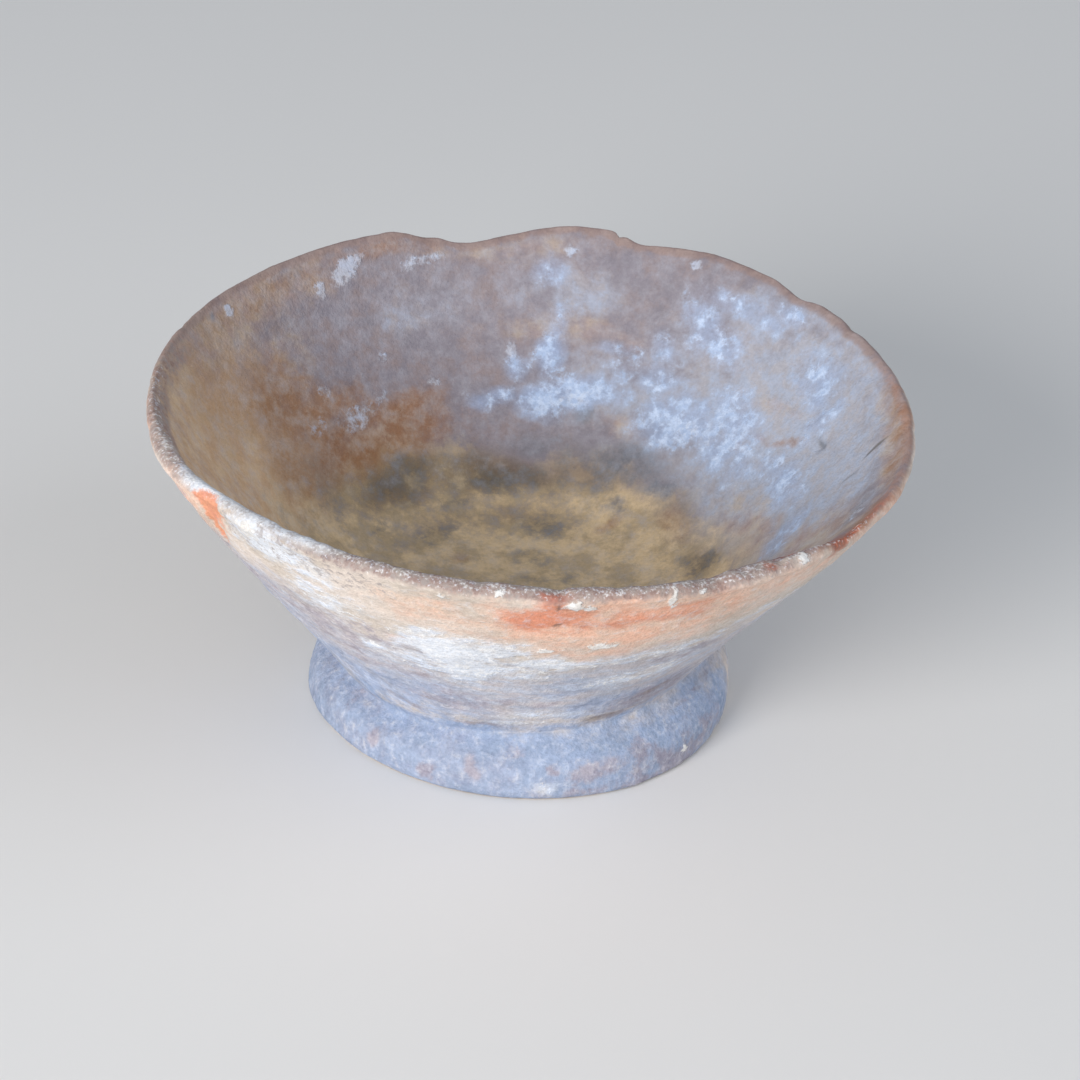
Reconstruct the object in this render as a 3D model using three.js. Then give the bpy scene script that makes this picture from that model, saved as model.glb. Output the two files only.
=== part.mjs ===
import * as THREE from "three";

// A footed pottery dish: an open bowl and its ring foot, fired as one piece of clay.
// Sizes are in millimetres and angles in degrees about +Z. The front of the dish,
// where the bare red clay shows, faces -Y, which is -90 degrees.

// Mouth
const mouthRadius = 100;
const rimHeight = 87.4;
const lipThickness = 4.4;
const lipRise = 2;

// Wall
const wallThickness = 7.5;
const wallThickeningHeight = 45;
const shoulderBulge = 2.8;
const lowWallDraw = 0.4;

// Scales that bring the curves s(1 - s) and s * s(1 - s) up to 1 at their highest
const middleCurveScale = 4;
const highCurveScale = 27 / 4;

// Groove between the wall and the foot
const grooveRadius = 48.6;
const grooveHeight = 14.9;

// Ring foot, hollow underneath
const footBaseRadius = 56.2;
const footBellyRadius = 56;
const footBellyHeight = 6.4;
const footEdgeRise = 1.2;
const footRestWidth = 9.6;
const recessDepth = 13;
const recessTaper = 2.6;
const recessFillet = 3;

// Where the middle of a fillet lies from its corner, as a share of its radius
const filletMiddle = 0.3;

// Where the foot's low curve has its middle point, as a share of the way up to the belly
const footCurveMiddle = 0.6;

// Inside of the bowl
const floorThickness = 11;
const insideTurnHeight = 18;

// Curve from the wall to the floor: how far it keeps the wall's slope, as a share of the turn, and
// from where it is flat, as a share of the radius
const turnKeepsSlope = 0.85;
const floorFlatFrom = 0.55;

// The dish is thrown by hand, so its rings wander. One line for each slow wave.
const mouthWaves = [
  { order: 1, size: 1.4, peak: 146 },
  { order: 2, size: 0.5, peak: -21 },
];
const rimHeightWaves = [
  { order: 1, size: 1.3, peak: 133 },
  { order: 2, size: 1.5, peak: 79 },
];
const wallBulgeWaves = [{ order: 1, size: 2.4, peak: 105 }];
const grooveRadiusWaves = [{ order: 1, size: 1.2, peak: 180 }];
const grooveHeightWaves = [{ order: 1, size: 3, peak: -10 }];
const footWaves = [
  { order: 1, size: 1.1, peak: -160 },
  { order: 3, size: 0.5, peak: -60 },
];

// Places where the mouth is pushed out or the rim stands higher
const mouthSwelling = { from: 190, deepest: 206, to: 224, depth: 1.2 };
const rimRise = { from: -152, deepest: -128, to: -100, depth: 0.8 };

// Breaks that lower the lip, each from its first edge over its deepest place to its last edge
const rimBreaks = [
  { from: 114, deepest: 103.5, to: 84, depth: 5 },
  { from: 115.5, deepest: 111.5, to: 107.5, depth: 1.6 },
  { from: 78.5, deepest: 75.5, to: 60, depth: 2.2 },
  { from: 50, deepest: 43.5, to: 39, depth: 1.4 },
  { from: 34, deepest: 31, to: 28, depth: 0.6 },
  { from: -58, deepest: -62, to: -67, depth: 1.2 },
  { from: -22, deepest: -34, to: -42, depth: 1.2 },
  { from: -83, deepest: -86, to: -90, depth: 0.7 },
];
const breakReach = 9;

// Flakes lost from the faces of the wall just below the lip
const insideFlakes = [{ from: -4, deepest: -33, to: -47, depth: 1.9, drop: 13 }];
const outsideFlakes = [{ from: 213, deepest: 218, to: 224, depth: 0.8, drop: 11 }];
const insideThickening = { from: -64, deepest: -48, to: -33, depth: 3.2, drop: 12 };

// Mesh steps: columns around the dish, rows along each stretch of the section
const columns = 140;
const wallRows = 6;
const lipRows = 3;
const insideRows = 5;
const floorRows = 4;
const shoulderRows = 2;

// Places of single rows, as shares of a step of the wall and of the way from the wall to the lip
const firstWallRow = 0.25;
const outsideRowBelowLip = 0.6;
const insideRowBelowLip = 0.4;

const clay = new THREE.MeshStandardMaterial({ color: 0xc6ab9c, roughness: 0.9, metalness: 0 });

function mix(a, b, share) {
  return a + (b - a) * share;
}

function smooth(share) {
  const s = Math.min(1, Math.max(0, share));
  return s * s * (3 - 2 * s);
}

function waveSum(waves, angle) {
  const parts = waves.map((w) => w.size * Math.cos(THREE.MathUtils.degToRad(w.order * (angle - w.peak))));
  return parts.reduce((sum, part) => sum + part, 0);
}

function turnTo(angle, target) {
  return THREE.MathUtils.euclideanModulo(angle - target + 180, 360) - 180;
}

// A hollow or swelling that grows from one edge to its deepest place and fades to the other edge
function hollow(angle, place) {
  const offset = turnTo(angle, place.deepest);
  const firstSpan = turnTo(place.from, place.deepest);
  const lastSpan = turnTo(place.to, place.deepest);
  const span = offset * firstSpan > 0 ? firstSpan : lastSpan;
  return place.depth * smooth(1 - offset / span);
}

// Everything about one column of the dish that depends only on its angle
function columnShape(angle) {
  const footWander = waveSum(footWaves, angle);
  const broken = rimBreaks.reduce((sum, place) => sum + hollow(angle, place), 0);
  const rim = rimHeight + waveSum(rimHeightWaves, angle) + hollow(angle, rimRise);
  return {
    angle,
    rim,
    top: rim - broken,
    mouth: mouthRadius + waveSum(mouthWaves, angle) + hollow(angle, mouthSwelling),
    groove: grooveRadius + waveSum(grooveRadiusWaves, angle),
    grooveTop: grooveHeight + waveSum(grooveHeightWaves, angle),
    lowBulge: waveSum(wallBulgeWaves, angle) - lowWallDraw,
    footBase: footBaseRadius + footWander,
    footBelly: footBellyRadius + footWander / 2,
  };
}

// Outside radius of the wall at a height, without flakes
function wallRadius(shape, z) {
  const share = (z - shape.grooveTop) / (shape.rim - shape.grooveTop);
  const low = shape.lowBulge * middleCurveScale * share * (1 - share);
  const high = shoulderBulge * highCurveScale * share * share * (1 - share);
  return mix(shape.groove, shape.mouth, share) + low + high;
}

// How far the wall leans outwards for each millimetre of height
function wallLean(shape, z) {
  const step = 0.5;
  return (wallRadius(shape, z + step) - wallRadius(shape, z - step)) / (2 * step);
}

// Depth of the flakes on one face of the wall at a height
function flakeDepth(flakes, shape, z) {
  return flakes.reduce((sum, f) => sum + hollow(shape.angle, f) * smooth(1 - (shape.rim - z) / f.drop), 0);
}

function outsideRadius(shape, z) {
  return wallRadius(shape, z) - flakeDepth(outsideFlakes, shape, z);
}

function insideRadius(shape, z) {
  const thick = mix(lipThickness, wallThickness, smooth((shape.rim - z) / wallThickeningHeight));
  const level = thick * Math.hypot(1, wallLean(shape, z));
  const lost = flakeDepth(insideFlakes, shape, z) - flakeDepth([insideThickening], shape, z);
  return wallRadius(shape, z) - level + lost;
}

// Underside: recess ceiling, its fillet, the recess wall and the flat ring that the dish rests on
function undersideSection(shape) {
  const restInner = footBaseRadius - footEdgeRise - footRestWidth;
  const ceiling = restInner - recessTaper;
  return [
    [ceiling / 2, recessDepth],
    [ceiling - recessFillet, recessDepth],
    [ceiling - recessFillet * filletMiddle, recessDepth - recessFillet * filletMiddle],
    [ceiling, recessDepth - recessFillet],
    [restInner, 0],
    [shape.footBase - footEdgeRise, 0],
  ];
}

// Outside of the foot: rounded lower edge, low belly, shoulder up to the groove
function footSection(shape) {
  const section = [
    [shape.footBase, footEdgeRise],
    [mix(shape.footBase, shape.footBelly, footCurveMiddle), footBellyHeight * footCurveMiddle],
    [shape.footBelly, footBellyHeight],
  ];
  for (let row = 1; row <= shoulderRows; row += 1) {
    const share = row / (shoulderRows + 1);
    const inward = 1 - Math.cos(share * Math.PI / 2);
    section.push([mix(shape.footBelly, shape.groove, inward), mix(footBellyHeight, shape.grooveTop, share)]);
  }
  section.push([shape.groove, shape.grooveTop]);
  return section;
}

// Outside of the wall. Rows below the reach of the breaks don't move with them.
function outsideSection(shape) {
  const reach = shape.rim - breakReach;
  const lipStart = shape.top - lipRise;
  const section = [];
  for (let row = 0; row <= wallRows; row += 1) {
    const share = (row + firstWallRow) / (wallRows + firstWallRow);
    section.push(mix(shape.grooveTop, reach, share));
  }
  section.push(mix(reach, lipStart, outsideRowBelowLip), lipStart);
  return section.map((z) => [outsideRadius(shape, z), z]);
}

// Rounded top of the lip, worn over where it is broken
function lipSection(shape) {
  const lipStart = shape.top - lipRise;
  const outer = outsideRadius(shape, lipStart);
  const inner = insideRadius(shape, lipStart);
  const section = [];
  for (let row = 1; row <= lipRows; row += 1) {
    const turn = Math.PI * row / (lipRows + 1);
    const radius = mix(inner, outer, (1 + Math.cos(turn)) / 2);
    section.push([radius, lipStart + lipRise * Math.sin(turn)]);
  }
  return section;
}

// Inside of the wall, from the lip down to where it turns into the floor
function insideSection(shape, turnTop) {
  const reach = shape.rim - breakReach;
  const lipStart = shape.top - lipRise;
  const heights = [lipStart, mix(reach, lipStart, insideRowBelowLip)];
  for (let row = 0; row < insideRows; row += 1) {
    heights.push(mix(reach, turnTop, row / (insideRows - 1)));
  }
  return heights.map((z) => [insideRadius(shape, z), z]);
}

// Curve from the foot of the inside wall to the middle of the floor
function floorSection(shape, turnTop, floor) {
  const start = insideRadius(shape, turnTop);
  const drop = (turnTop - floor) * turnKeepsSlope;
  const curve = new THREE.CubicBezierCurve(
    new THREE.Vector2(start, turnTop),
    new THREE.Vector2(start - wallLean(shape, turnTop) * drop, turnTop - drop),
    new THREE.Vector2(start * floorFlatFrom, floor),
    new THREE.Vector2(0, floor),
  );
  const section = [];
  for (let row = 1; row <= floorRows; row += 1) {
    const point = curve.getPoint(row / (floorRows + 1));
    section.push([point.x, point.y]);
  }
  return section;
}

function dishSection(angle) {
  const shape = columnShape(angle);
  const floor = recessDepth + floorThickness;
  const turnTop = floor + insideTurnHeight;
  return [
    ...undersideSection(shape),
    ...footSection(shape),
    ...outsideSection(shape),
    ...lipSection(shape),
    ...insideSection(shape, turnTop),
    ...floorSection(shape, turnTop, floor),
  ];
}

// Join the sections of all columns into one closed skin with a point on the axis at each end
function dishGeometry() {
  const positions = [];
  const faces = [];
  let rows = 0;
  for (let column = 0; column < columns; column += 1) {
    const angle = 360 * column / columns;
    const turn = THREE.MathUtils.degToRad(angle);
    const section = dishSection(angle);
    rows = section.length;
    for (const [radius, z] of section) {
      positions.push(radius * Math.cos(turn), radius * Math.sin(turn), z);
    }
  }
  const underPole = columns * rows;
  const floorPole = underPole + 1;
  positions.push(0, 0, recessDepth);
  positions.push(0, 0, recessDepth + floorThickness);
  for (let column = 0; column < columns; column += 1) {
    const here = column * rows;
    const next = ((column + 1) % columns) * rows;
    faces.push(underPole, next, here);
    for (let row = 0; row < rows - 1; row += 1) {
      faces.push(here + row, next + row, next + row + 1);
      faces.push(here + row, next + row + 1, here + row + 1);
    }
    faces.push(floorPole, here + rows - 1, next + rows - 1);
  }
  const geometry = new THREE.BufferGeometry();
  geometry.setAttribute("position", new THREE.Float32BufferAttribute(positions, 3));
  geometry.setIndex(faces);
  geometry.computeVertexNormals();
  return geometry;
}

// Move the dish so that the origin is under the middle of its outline
function centreOverOrigin(geometry) {
  geometry.computeBoundingBox();
  const middle = geometry.boundingBox.getCenter(new THREE.Vector3());
  geometry.translate(-middle.x, -middle.y, 0);
  return geometry;
}

const group = new THREE.Group();
const dish = new THREE.Mesh(centreOverOrigin(dishGeometry()), clay);
dish.name = "dish";
group.add(dish);

export default group;
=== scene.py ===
import math

import bpy
import numpy as np
from mathutils import Matrix, Vector


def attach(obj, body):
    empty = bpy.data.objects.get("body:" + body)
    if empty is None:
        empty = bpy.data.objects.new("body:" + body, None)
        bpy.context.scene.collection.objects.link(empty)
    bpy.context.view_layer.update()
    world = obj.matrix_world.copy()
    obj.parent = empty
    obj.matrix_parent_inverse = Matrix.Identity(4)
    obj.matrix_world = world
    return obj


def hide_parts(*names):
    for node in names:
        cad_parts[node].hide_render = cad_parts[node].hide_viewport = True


# The dressed footed dish. Its skin is built over the sections of the solid dish, with the thrower's
# ridges, worn lip, flakes and crust as relief, and one clay material with its weathering in layers.
# Lengths are in metres where Blender needs them, and in millimetres where a name ends in _mm.

MM = 0.001
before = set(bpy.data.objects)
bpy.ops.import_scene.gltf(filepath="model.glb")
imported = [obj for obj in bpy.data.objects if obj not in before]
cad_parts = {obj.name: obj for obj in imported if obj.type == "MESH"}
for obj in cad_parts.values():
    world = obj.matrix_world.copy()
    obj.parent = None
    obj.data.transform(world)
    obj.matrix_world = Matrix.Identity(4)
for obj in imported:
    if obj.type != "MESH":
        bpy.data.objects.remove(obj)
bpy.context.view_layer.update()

# Camera, at the photo's viewing angle
CAMERA_ELEVATION = 30.65
CAMERA_ROLL = 2.95
CAMERA_DISTANCE = 1.0
CAMERA_AIM_MM = (3.82, 0.0, 44.25)
SENSOR_WIDTH_MM = 36.0
FOCAL_TO_FRAME = 3787 / 1080

# Rows of the solid's section, counted from the middle of the underside
ROW_REST_INNER = 4
ROW_REST_OUTER = 5
ROW_GROOVE = 11
ROW_LIP_OUTER = 20
ROW_LIP_TOP = 22
ROW_LIP_INNER = 24
ROW_FLOOR = 31
CREASE_ROWS = (ROW_REST_INNER, ROW_REST_OUTER, ROW_GROOVE)

# The solid's mesh: decimals of a metre to which its doubled corners are joined, and the slack in
# radians at the seam where its columns begin
JOIN_DECIMALS = 6
SEAM_SLACK = 1e-4

# No normal is divided by a length under this
TINY = 1e-12

# In rows: where the change from outside to inside begins past the lip's top, how long it is, and how
# much sooner the colours change where the lip is thin
LIP_CHANGE_FROM = 0.5
LIP_CHANGE_ROWS = 1.5
THIN_LIP_ROWS = 2.2

# In rows: how far the lip reaches to both sides of its top, how long its outer half and the soft start
# of its bare clay are, and how soon the foot ends at the groove and the underside beside the rest
LIP_REACH_ROWS = 3
OUTER_HALF_ROWS = 2
BARE_LIP_SOFTNESS = 1.4
GROOVE_CHANGE_ROWS = 0.3
REST_CHANGE_ROWS = 0.6

# Fineness of the skin
SKIN_COLUMNS = 540
ROW_SPACING_MM = {"under": 5.0, "foot": 1.4, "wall": 1.7, "lip": 0.55, "inside": 1.75, "floor": 2.6}
POLE_RINGS = 4

# Near the axis a mark inside is measured as if this far out, so that it keeps its width
SMALLEST_REACH_MM = 12

# Marks on the inside of the bowl: what it is, azimuth, radius, half width, half height, lean, strength.
# Azimuths and leans are in degrees and the rest is in millimetres.
TAN_INSIDE = [
    ("tan left wall", 178, 78, 40, 26, 0, 1.1),
    ("tan far left wall", 158, 86, 18, 10, 0, 0.62),
    ("tan near left wall", -165, 84, 34, 20, 0, 1.0),
    ("tan left, low", 160, 66, 18, 12, 0, 0.6),
    ("tan near right wall", -32, 76, 26, 16, 0, 0.75),
    ("tan near wall", -100, 78, 80, 22, 0, 0.72),
    ("tan near wall, low", -95, 60, 60, 12, 0, 0.6),
]
# The veil's blue on the far and right inner wall is partly a whitish salt film and partly painted cool
# shade.
VEIL_AND_COOL_SHADE_INSIDE = [
    ("pale right wall", 18, 76, 62, 24, 0, 1.15),
    ("pale wall behind the salt", 62, 70, 38, 8, 0, 0.7),
    ("pale wall, upper right", 42, 88, 22, 10, 0, 0.75),
    ("blue haze under the far rim", 84, 86, 16, 5, 0, 0.62),
    ("blue haze, left", 112, 84, 16, 5, 0, 0.45),
]
WARM_INSIDE = [
    ("warm wall below the right rim", -4, 94, 26, 3.0, 0, 0.8),
    ("near right wall", -19, 75, 15, 11, 0, 1.1),
    ("rosy wall under the far left rim", 152, 94, 34, 4.5, 0, 0.95),
    ("warm wall above the floor", 0, 61, 26, 5, 0, 0.85),
    ("warm break edge", 97, 93.5, 22, 3, 0, 0.45),
    ("warm band in the mauve", 84, 80, 26, 2.2, 0, 0.5),
    ("warm gap in the salt", 67, 64, 6, 2.0, 0, 0.75),
    ("warm left shoulder", 143, 84, 12, 6, 0, 0.45),
    ("warm streak under the notch", 32, 79, 16, 1.8, -8, 0.5),
]
SOIL_INSIDE = [
    ("soil on the near left wall", 172, 62, 26, 8, 0, 0.62),
    ("soil under the rust", 150, 57, 18, 6, 0, 0.7),
    ("soil at the right", 2, 56, 14, 7, 0, 0.62),
    ("soil at the near right", -30, 58, 20, 8, 0, 0.75),
]
BROWN_INSIDE = [
    ("brown ground below the rust", 131, 56, 20, 8, 0, 1.25),
    ("brown ground, left", 152, 60, 10, 9, 10, 0.62),
    ("brown band", 102, 52, 19, 6, 6, 1.15),
    ("brown ground, right", 76, 54, 16, 4, 0, 0.75),
    ("brown middle", 92, 40, 18, 6, 0, 0.75),
    ("brown middle, left", 122, 42, 16, 6, 0, 0.62),
    ("brown right of the middle", 40, 53, 10, 4, 0, 0.5),
    ("brown under the salt", 66, 56, 16, 4, 0, 0.62),
    ("brown near the right", 12, 47, 9, 6, 0, 0.6),
    ("brown floor, left", 146, 40, 10, 5, 0, 0.45),
]
STAIN_INSIDE = [
    ("dark patch below the rust", 133, 55.5, 9, 4, 0, 0.8),
    ("dark patch, right half", 124, 56, 5, 4, 0, 0.75),
    ("dark band", 101, 50, 7, 3.0, 10, 1.0),
    ("dark band, right end", 88, 51, 7, 2.6, 0, 0.7),
    ("dark band, left end", 110, 51.5, 4, 2, 0, 0.55),
    ("dark growth at the right", 13, 49, 4, 4.4, 0, 0.95),
    ("dark growth, edge", 20, 47, 3, 3, 0, 0.6),
    ("grey cloud on the floor", 82, 36, 7, 5, 0, 0.72),
    ("grey cloud, low", 84, 23, 6, 3.4, 0, 0.6),
    ("grey cloud, small", 72, 13, 5, 4, 0, 0.62),
    ("grey cloud, right", 45, 17, 4, 4, 0, 0.55),
    ("small smudge", 117, 47, 4, 2, 0, 0.6),
    ("left smudge", 148, 47, 4, 2, 0, 0.5),
    ("smudges on the left of the floor", 128, 38, 10, 4, 0, 0.45),
]
SLATE_INSIDE = [
    ("slate spot", 48, 55, 4.4, 2.2, 0, 1.1),
    ("slate haze under the salt", 62, 58, 20, 4, 0, 0.7),
    ("slate ring", 77, 65, 3, 1.8, 0, 0.7),
    ("slate haze, left", 88, 59, 9, 3, 0, 0.62),
    ("slate spot, low", 60, 48.5, 3.4, 2.6, 0, 0.8),
    ("slate drop", 68, 53, 3, 3, 0, 0.55),
    ("pit shade", 15.3, 80, 2.3, 0.9, 0, 1.15),
    ("pit on the left wall", 155, 95.5, 0.9, 0.8, 0, 1.1),
    ("specks on the bevel", -20, 89, 10, 2.6, 0, 0.5),
    ("specks on the near bevel", -50, 92, 14, 1.6, 0, 0.55),
]
RUST_INSIDE = [
    ("rust field", 134, 65, 24, 5, 0, 1.2),
    ("rust field, right end", 120, 65.5, 12, 5, 0, 0.8),
    ("rust climbing the left wall", 150, 76, 17, 10, 20, 0.85),
    ("rust, upper end", 138, 73, 11, 5, 0, 0.7),
    ("rust on the left wall", 160, 67, 10, 8, 0, 0.7),
    ("rust haze on the left", 164, 86, 20, 9, 0, 0.4),
    ("brown band under the far left rim", 146, 94, 40, 3.0, 0, 0.42),
    ("brown band under the break", 116, 95, 16, 2, 0, 0.5),
    ("rust streak on the floor", 58, 42.5, 1.6, 5, 22, 0.95),
    ("rust dot on the floor", 131, 27, 3, 2.0, 0, 0.8),
    ("rust haze at the soil's edge", 36, 50, 7, 3, 0, 0.5),
    ("rust line in the salt", 24, 75.2, 10, 0.8, -20, 0.62),
    ("rust line, left end", 32, 72.5, 4, 0.7, -14, 0.55),
    ("rust spot in the salt", 35, 68.8, 3.0, 1.2, 0, 0.6),
    ("orange right rim", 1, 97, 20, 3.0, 0, 0.8),
    ("rust on the near wall", -112, 84, 22, 8, 10, 0.62),
    ("orange right rim, low", -10, 95.5, 12, 2.4, 0, 0.7),
    ("orange behind the scar", -28, 96, 12, 3.0, 0, 0.8),
]
SALT_INSIDE = [
    ("thick salt under the far step", 53, 67, 13, 4.6, 0, 1.0),
    ("its right neighbour", 39, 67.5, 9, 4.4, 0, 0.85),
    ("salt bridge", 40, 73, 13, 3.6, 10, 0.72),
    ("salt streak towards the break", 79, 68.5, 13, 3.0, -8, 0.95),
    ("end of the streak", 99, 67.5, 8, 2.0, 0, 0.8),
    ("salt below the spill", 88, 67, 8, 3, 0, 0.95),
    ("salt spill", 87, 75.5, 4, 5.5, 10, 0.9),
    ("spill, left side", 94, 73, 4, 3, 0, 0.6),
    ("salt shelf", 64, 74, 12, 2.6, 0, 0.7),
    ("small cloud", 72, 78, 7, 1.8, 0, 0.5),
    ("upper cloud", 54, 84, 12, 4, 20, 0.75),
    ("upper cloud, low end", 63, 80, 6, 3, 20, 0.55),
    ("right cloud", 28, 87, 10, 4.4, 0, 0.7),
    ("right cloud, low end", 20, 82, 4, 4.2, 0, 0.85),
    ("salt at the rim notch", 42, 93, 8, 2, 0, 0.62),
    ("salt along the far rim", 50, 90, 20, 2.4, 0, 0.5),
    ("right edge of the salt", 31, 66, 6, 4, 0, 0.6),
    ("salt below the line", 16, 71, 14, 5, 0, 0.7),
    ("salt at the near right", -4, 68, 8, 5, 20, 0.6),
    ("upper haze, middle", 88, 89, 6, 3, 0, 0.5),
]
FLECKS_INSIDE = [
    ("big white fleck", 125, 93.4, 5, 1.4, -14, 1.25),
    ("second white fleck", 131, 91.6, 2.0, 1.1, 0, 1.15),
    ("pale line", 111, 92, 6, 1.0, -10, 0.6),
    ("rim dot", 151, 94.6, 1.3, 1.0, 0, 1.4),
    ("left dot", 140, 76, 2.2, 1.4, 0, 0.55),
    ("left crumbs", 134, 69.5, 6, 2.0, 0, 0.6),
    ("left crumbs, high", 145, 71, 3.6, 1.6, 0, 0.5),
    ("left crumbs, low", 126, 71, 2.2, 1.2, 0, 0.6),
    ("middle dot", 95, 76, 1.4, 1.0, 0, 1.0),
    ("dot on the mauve", 113, 71.5, 1.6, 0.9, 0, 0.9),
    ("dot on the mauve, high", 123, 78, 1.4, 1, 0, 0.62),
    ("top fleck", 85, 92.8, 1.6, 0.9, 0, 1.15),
    ("top fleck, right", 63, 94, 1.6, 0.8, 0, 1.1),
    ("salt heart", 80, 68, 7, 1.6, -6, 0.6),
    ("salt heart, right", 47, 67.5, 6, 2.2, 0, 0.6),
    ("near flecks on the bevel", -20, 89, 6, 2.4, 0, 0.5),
    ("fleck by the scar", -43.5, 95, 1.8, 1.1, 0, 1.1),
]

SCAR_INSIDE = [
    ("scar, inner side", -35, 96.5, 8, 4.2, 0, 1.3),
    ("scar, fading end", -26, 97, 9, 3.0, 0, 0.5),
    ("red ridge along the lip", -50, 94.5, 15, 1.8, 0, 0.75),
]
CRACK_INSIDE = [
    ("drying crack on the right", 0.8, 90, 0.8, 4.6, 0, 1.0),
    ("crack, faint low end", -1.5, 83, 0.8, 2.6, 14, 0.5),
]

# Marks on the outside: what it is, azimuth, height, half width, half height, lean, strength
LILAC_OUTSIDE = [
    ("lilac lower wall, left", -150, 44, 40, 24, 0, 1.2),
    ("lilac lower wall, middle", -104, 38, 34, 18, 0, 1.3),
    ("lilac lower wall, right", -62, 38, 44, 20, 0, 1.2),
    ("lilac near right", -26, 34, 40, 26, 0, 1.25),
    ("lilac on the back", 90, 38, 100, 20, 0, 0.9),
]
# The blue on the lower outer wall is partly salt and partly painted cool shade, where the wall turns out of
# the light.
BLUE_SALT_AND_COOL_SHADE_OUTSIDE = [
    ("blue lower wall, left", -132, 27, 30, 11, 0, 0.95),
    ("blue left wall", -156, 34, 22, 20, 0, 0.7),
    ("blue lower wall, middle", -110, 33, 14, 9, 0, 0.6),
    ("blue smear, right", -76, 40, 12, 5, 6, 0.72),
    ("blue above the groove, right", -62, 28, 20, 6, 8, 0.8),
    ("blue on the back", 100, 28, 90, 12, 0, 0.7),
]
# The foot's blue is partly salt and partly painted cool shade.
FOOT_SALT_AND_COOL_SHADE_OUTSIDE = [
    ("blue foot, left", -148, 6, 60, 13, 0, 1.5),
    ("blue foot, middle", -104, 6, 50, 13, 0, 1.5),
    ("blue foot, right", -62, 7, 34, 12, 0, 1.15),
    ("blue foot, right end", -34, 8, 26, 10, 0, 1.15),
    ("blue foot, far right", -40, 13, 18, 4, 0, 0.9),
    ("blue foot, back", 100, 6, 110, 11, 0, 0.9),
]
MAUVE_AND_PAINTED_SHADE_OUTSIDE = [
    ("mauve band over the groove", -96, 31, 15, 4, 0, 0.66),
    ("mauve lower right", -50, 27, 16, 8, 0, 0.7),
    ("mauve right wall", -56, 50, 16, 5, 0, 0.5),
    ("mauve left wall", -133, 50, 8, 5, 0, 0.62),
    ("mauve left wall, low", -124, 38, 6, 3, 0, 0.55),
    ("mauve in the smear", -112, 40, 6, 2.6, 0, 0.55),
    # The next three marks are painted shade, darkening the left of the outer wall where the window light
    # falls strongest.
    ("painted shade, far left", -150, 60, 8, 16, 0, 0.62),
    ("painted shade on the left wall", -130, 50, 30, 16, 0, 0.52),
    ("painted shade, high far left", -154, 72, 10, 14, 0, 0.5),
    ("mauve wash, low middle", -104, 30, 26, 6, 0, 0.5),
    ("mauve right foot", -44, 4, 24, 6, 0, 0.75),
    ("mauve foot patch", -113, 4.4, 4.4, 2.4, 0, 0.95),
    ("mauve foot patch, left", -131, 8.0, 2.0, 3.0, 0, 0.9),
    ("mauve foot patch, small", -145, 11, 3, 2, 0, 0.55),
    ("mauve foot patch, middle", -101, 8, 2, 3, 0, 0.75),
    ("mauve foot patch, near", -89, 12, 2.4, 2, 0, 0.62),
    ("mauve foot patch, dots", -80, 9, 2.4, 1.2, 0, 0.62),
    ("mauve foot patch, right", -68, 7, 8, 3.4, 0, 0.85),
    ("mauve foot patch, far right", -55, 10, 3.4, 3, 0, 0.72),
    ("mauve foot, low right", -70, 2, 8, 1.6, 0, 0.62),
    ("mauve on the back", 90, 52, 60, 12, 0, 0.6),
]
PEACH_OUTSIDE = [
    ("peach upper wall", -74, 75, 40, 14, 0, 1.25),
    ("peach, right", -46, 78, 22, 8, 0, 0.62),
    ("peach, middle left", -104, 76, 16, 9, 0, 0.6),
    ("peach under the smear", -78, 60, 20, 5, 0, 0.62),
    ("peach between the smears", -111, 57, 7, 2.4, 10, 0.62),
    ("pink clay by the flake", -151, 80, 8, 9, 0, 0.95),
    ("pink clay, left end", -170, 82, 20, 8, 0, 0.7),
    ("pink right end", -24, 80, 20, 8, 0, 0.7),
    ("clay on the back", 30, 74, 22, 8, 0, 0.7),
    ("clay on the back, left", 140, 70, 26, 10, 0, 0.7),
]
RED_OUTSIDE = [
    ("bare red clay", -86.5, 77.5, 12, 7, 0, 1.1),
    ("bare red clay, top", -85.5, 84, 5, 3.4, 0, 1.0),
    ("bare red clay, right", -70, 77, 18, 6, 0, 0.62),
    ("red clay on the back", 26, 78, 12, 4, 0, 0.6),
]
SCAR_OUTSIDE = [
    ("scar at the right lip", -36.0, 84.5, 6.5, 4.0, 14, 1.4),
    ("red lip skin", -85.5, 87, 4.4, 1.6, 0, 0.62),
    ("small scar at the lip", -52, 86, 2, 1.6, 0, 0.9),
]
ORANGE_OUTSIDE = [
    ("fresh flake", -143.4, 84, 5.2, 6, 0, 1.4),
    ("fresh flake, low end", -144.5, 76.5, 2.6, 6, -14, 1.2),
]
CREAM_OUTSIDE = [
    ("wiped smear", -101, 57, 16, 7, 12, 1.4),
    ("wiped smear, top", -107, 64, 8, 2.4, 16, 0.8),
    ("wiped smear, low", -100, 48, 17, 6, 0, 1.0),
    ("wiped smear, right", -85, 53, 14, 4.0, 0, 0.9),
    ("smear left of the middle", -118, 48, 9, 5, -20, 0.55),
    ("thin smear under the clay", -96, 61.5, 10, 1.2, 6, 0.7),
    ("haze, right", -62, 54, 18, 4, 6, 0.62),
    ("haze, lower right", -66, 42, 18, 4, 6, 0.6),
    ("haze, far right", -44, 62, 12, 4, 10, 0.5),
    ("white crust under the left lip", -131, 83, 13, 7, 0, 1.2),
    ("white crust at the left end", -122, 79, 9, 5, 0, 0.7),
    ("cream wall, left", -124, 66, 12, 9, 0, 0.62),
    ("white line over the groove", -88, 20.6, 8, 0.9, 0, 0.7),
    ("white line, left", -104, 20, 5, 0.8, 0, 0.5),
    ("smear low on the wall", -84, 24, 12, 1.6, 0, 0.5),
    ("foot smear, bright", -82, 4.4, 4, 1.8, 0, 0.5),
    ("smear on the back", 60, 60, 24, 5, 0, 0.7),
    ("smear on the back, left", 120, 42, 24, 4, 0, 0.7),
]
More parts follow.
